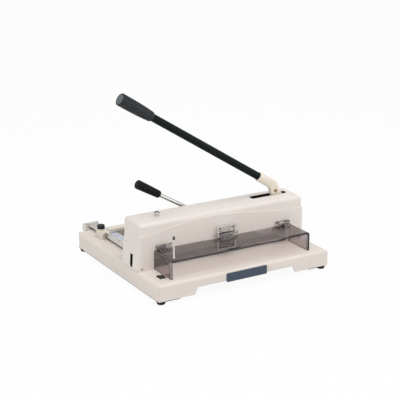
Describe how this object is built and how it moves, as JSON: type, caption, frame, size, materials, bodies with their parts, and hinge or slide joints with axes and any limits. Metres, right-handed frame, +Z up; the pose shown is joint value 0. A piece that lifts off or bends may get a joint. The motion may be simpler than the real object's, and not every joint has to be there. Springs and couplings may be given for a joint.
{
  "type": "paper stack cutter",
  "caption": "Free-standing stack paper cutter: long knife lever, clamp lever, hinged smoked shield over the throat, back gauge on a ruled rail and a cream moulded base.",
  "frame": {"origin": "centre of the base plate's underside; the rubber feet reach 7 mm below it", "axes": "+X along the knife towards the lever's pivot, +Y from the user to the back gauge, +Z up"},
  "size_m": [0.4996, 0.4607, 0.4706],
  "materials": {
    "cream_base": "cream moulded plastic, satin",
    "cream_housing": "cream moulded plastic, satin",
    "cream_casting": "cream enamel on a casting",
    "cream_gauge": "cream paint on aluminium",
    "black_steel": "black paint",
    "foot_rubber": "black rubber",
    "slate_plastic": "slate plastic, fine grain",
    "bed_steel": "ground steel",
    "cast_frame": "grey paint on cast iron",
    "frame_steel": "machined steel",
    "stick_plastic": "red plastic",
    "screw_steel": "zinc plated",
    "dark_steel": "blackened",
    "bush_bronze": "sintered bronze",
    "shaft_steel": "ground steel",
    "tube_sleeve": "black coating on steel tube",
    "grip_black": "black grip, soft sheen",
    "hub_black": "black paint",
    "blade_steel": "ground tool steel",
    "chrome_bright": "bright chrome",
    "pad_plastic": "black plastic",
    "rail_metal": "anodised aluminium",
    "ruler_face": "pale blue scale strip",
    "knob_black": "black plastic",
    "nut_chrome": "plated",
    "smoked_acrylic": "smoked clear acrylic",
    "hinge_metal": "plated steel",
    "rod_tip_black": "dark plastic",
    "latch_plastic": "pale plastic",
    "switch_black": "black plastic",
    "lamp_lens": "milky plastic"
  },
  "bodies": {
    "frame": {"base_casing": "cream_base", "base_plate": "black_steel", "rubber_feet": "foot_rubber", "foot_screws": "screw_steel", "front_grip_plate": "slate_plastic", "bed_plate": "bed_steel", "bed_screws": "screw_steel", "table_beam": "cast_frame", "cutting_stick": "stick_plastic", "left_cheek": "frame_steel", "right_cheek": "frame_steel", "front_frame_plate": "frame_steel", "rear_frame_plate": "frame_steel", "frame_bolts": "dark_steel", "housing_cover": "cream_housing", "rear_cover": "cream_housing", "cover_screws": "screw_steel", "shaft_bushes": "bush_bronze", "gauge_rail": "rail_metal", "rail_end_bracket": "rail_metal", "ruler_strip": "ruler_face", "rail_screws": "screw_steel", "hinge_brackets": "hinge_metal", "hinge_pins": "screw_steel", "interlock_bracket": "chrome_bright", "switch_bezel": "switch_black", "line_lamp": "lamp_lens"},
    "lever": {"lever_casting": "cream_casting", "knife_shaft": "shaft_steel", "knife_crank": "frame_steel", "crank_roller": "shaft_steel", "lever_tube": "tube_sleeve", "lever_grip": "grip_black", "lever_bolt": "screw_steel", "shaft_ring": "dark_steel"},
    "knife": {"knife_carrier": "frame_steel", "knife_blade": "blade_steel", "blade_screws": "dark_steel", "guide_rollers": "shaft_steel"},
    "clamp": {"clamp_shaft": "shaft_steel", "clamp_crank": "frame_steel", "clamp_roller": "shaft_steel", "clamp_hub": "hub_black", "clamp_rod": "chrome_bright", "clamp_grip": "grip_black"},
    "bar": {"pressure_bar": "frame_steel", "pressure_pad": "pad_plastic"},
    "gauge": {"gauge_carriage": "cream_gauge", "gauge_fence": "cream_gauge", "gauge_bolt": "shaft_steel"},
    "knob": {"gauge_knob": "knob_black"},
    "nut": {"squaring_nut": "nut_chrome"},
    "shield": {"safety_shield": "smoked_acrylic", "shield_hinges": "hinge_metal", "shield_screws": "screw_steel", "shield_lift_rod": "chrome_bright", "lift_rod_tip": "rod_tip_black"},
    "latch": {"latch_finger": "latch_plastic"},
    "stop": {"stop_screw": "chrome_bright"},
    "rocker": {"switch_rocker": "switch_black"}
  },
  "joints": [
    {"name": "cutting_lever", "type": "hinge", "parent": "frame", "child": "lever", "pos_m": [0.2, -0.07, 0.123], "axis": [0, -1, 0], "range_deg": [0, 24]},
    {"name": "knife_slide", "type": "slide", "parent": "frame", "child": "knife", "axis": [0.4284, 0, -0.9036], "range_m": [0, 0.0515]},
    {"name": "clamp_lever", "type": "hinge", "parent": "frame", "child": "clamp", "pos_m": [0.01, -0.024, 0.11], "axis": [0, -1, 0], "range_deg": [0, 41.5]},
    {"name": "pressure_bar_slide", "type": "slide", "parent": "frame", "child": "bar", "axis": [0, 0, -1], "range_m": [0, 0.0458]},
    {"name": "back_gauge", "type": "slide", "parent": "frame", "child": "gauge", "axis": [0, -1, 0], "range_m": [-0.033, 0.124]},
    {"name": "gauge_knob_turn", "type": "hinge", "parent": "gauge", "child": "knob", "pos_m": [-0.2035, 0.1544, 0.07], "axis": [0, 0, 1], "range_deg": [0, 540]},
    {"name": "squaring_nut_turn", "type": "hinge", "parent": "gauge", "child": "nut", "pos_m": [-0.2035, 0.126, 0.055], "axis": [0, -1, 0], "range_deg": [-180, 180]},
    {"name": "shield_hinge", "type": "hinge", "parent": "frame", "child": "shield", "pos_m": [0, -0.1255, 0.0985], "axis": [-1, 0, 0], "range_deg": [0, 90]},
    {"name": "latch_swing", "type": "hinge", "parent": "frame", "child": "latch", "pos_m": [0, -0.124, 0.116], "axis": [-1, 0, 0], "range_deg": [0, 5], "stiffness_Nm_per_rad": 0.02, "springref_deg": -5.73},
    {"name": "stop_screw_turn", "type": "hinge", "parent": "frame", "child": "stop", "pos_m": [-0.164, -0.076, 0.165], "axis": [0, 0, 1], "range_deg": [-360, 360]},
    {"name": "switch_tip", "type": "hinge", "parent": "frame", "child": "rocker", "pos_m": [-0.208, -0.175, 0.042], "axis": [-1, 0, 0], "range_deg": [0, 16]}
  ],
  "couplings": [
    {"joint": "knife_slide", "follows": "cutting_lever", "m_per_rad": 0.12261},
    {"joint": "pressure_bar_slide", "follows": "clamp_lever", "m_per_rad": 0.063099}
  ]
}
